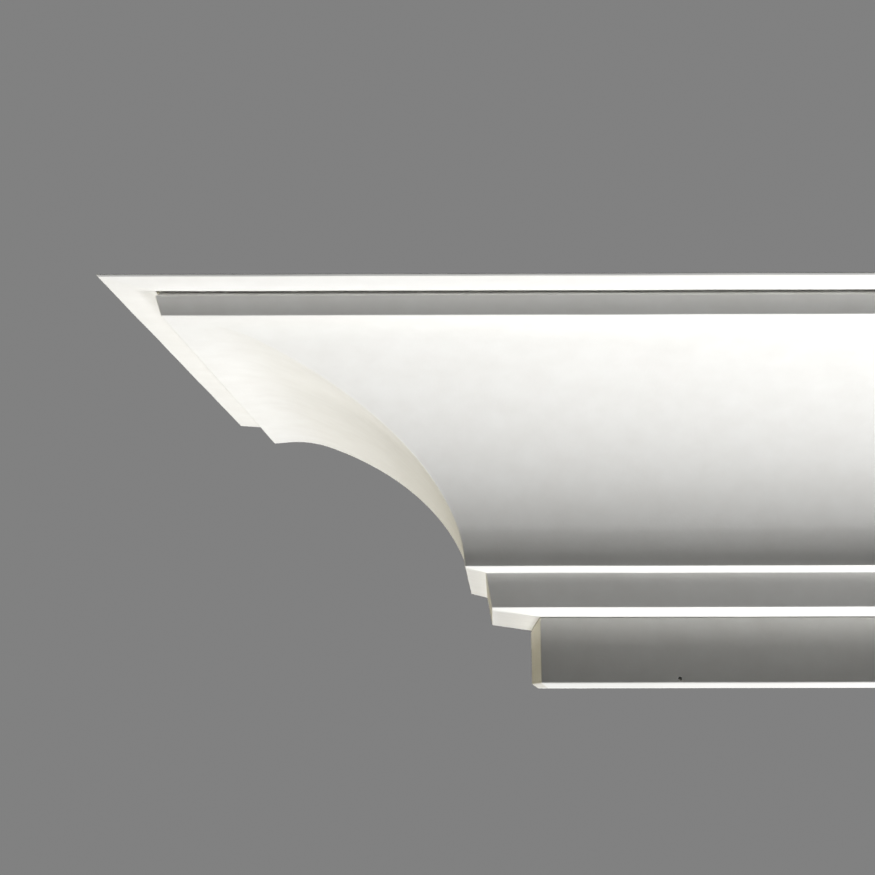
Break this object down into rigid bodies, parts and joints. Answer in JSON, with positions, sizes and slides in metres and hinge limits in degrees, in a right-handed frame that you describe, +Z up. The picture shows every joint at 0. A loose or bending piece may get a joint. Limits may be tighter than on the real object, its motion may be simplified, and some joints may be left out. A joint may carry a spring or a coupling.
{
  "type": "cornice moulding length",
  "caption": "Short length of white plaster cornice: deep cove between stepped fascias and a ceiling fillet, with a mitred return round an outside wall corner.",
  "frame": {"origin": "centre of the main run's upright seat on the wall", "axes": "+X along the main run away from the mitred corner, +Y into the wall that the main run is fixed to, +Z up to the ceiling"},
  "size_m": [0.3, 0.288, 0.1276],
  "materials": {
    "painted_plaster": "cast gypsum plaster with a flat white priming coat"
  },
  "bodies": {
    "root": {"cornice_moulding": "painted_plaster"}
  },
  "joints": []
}
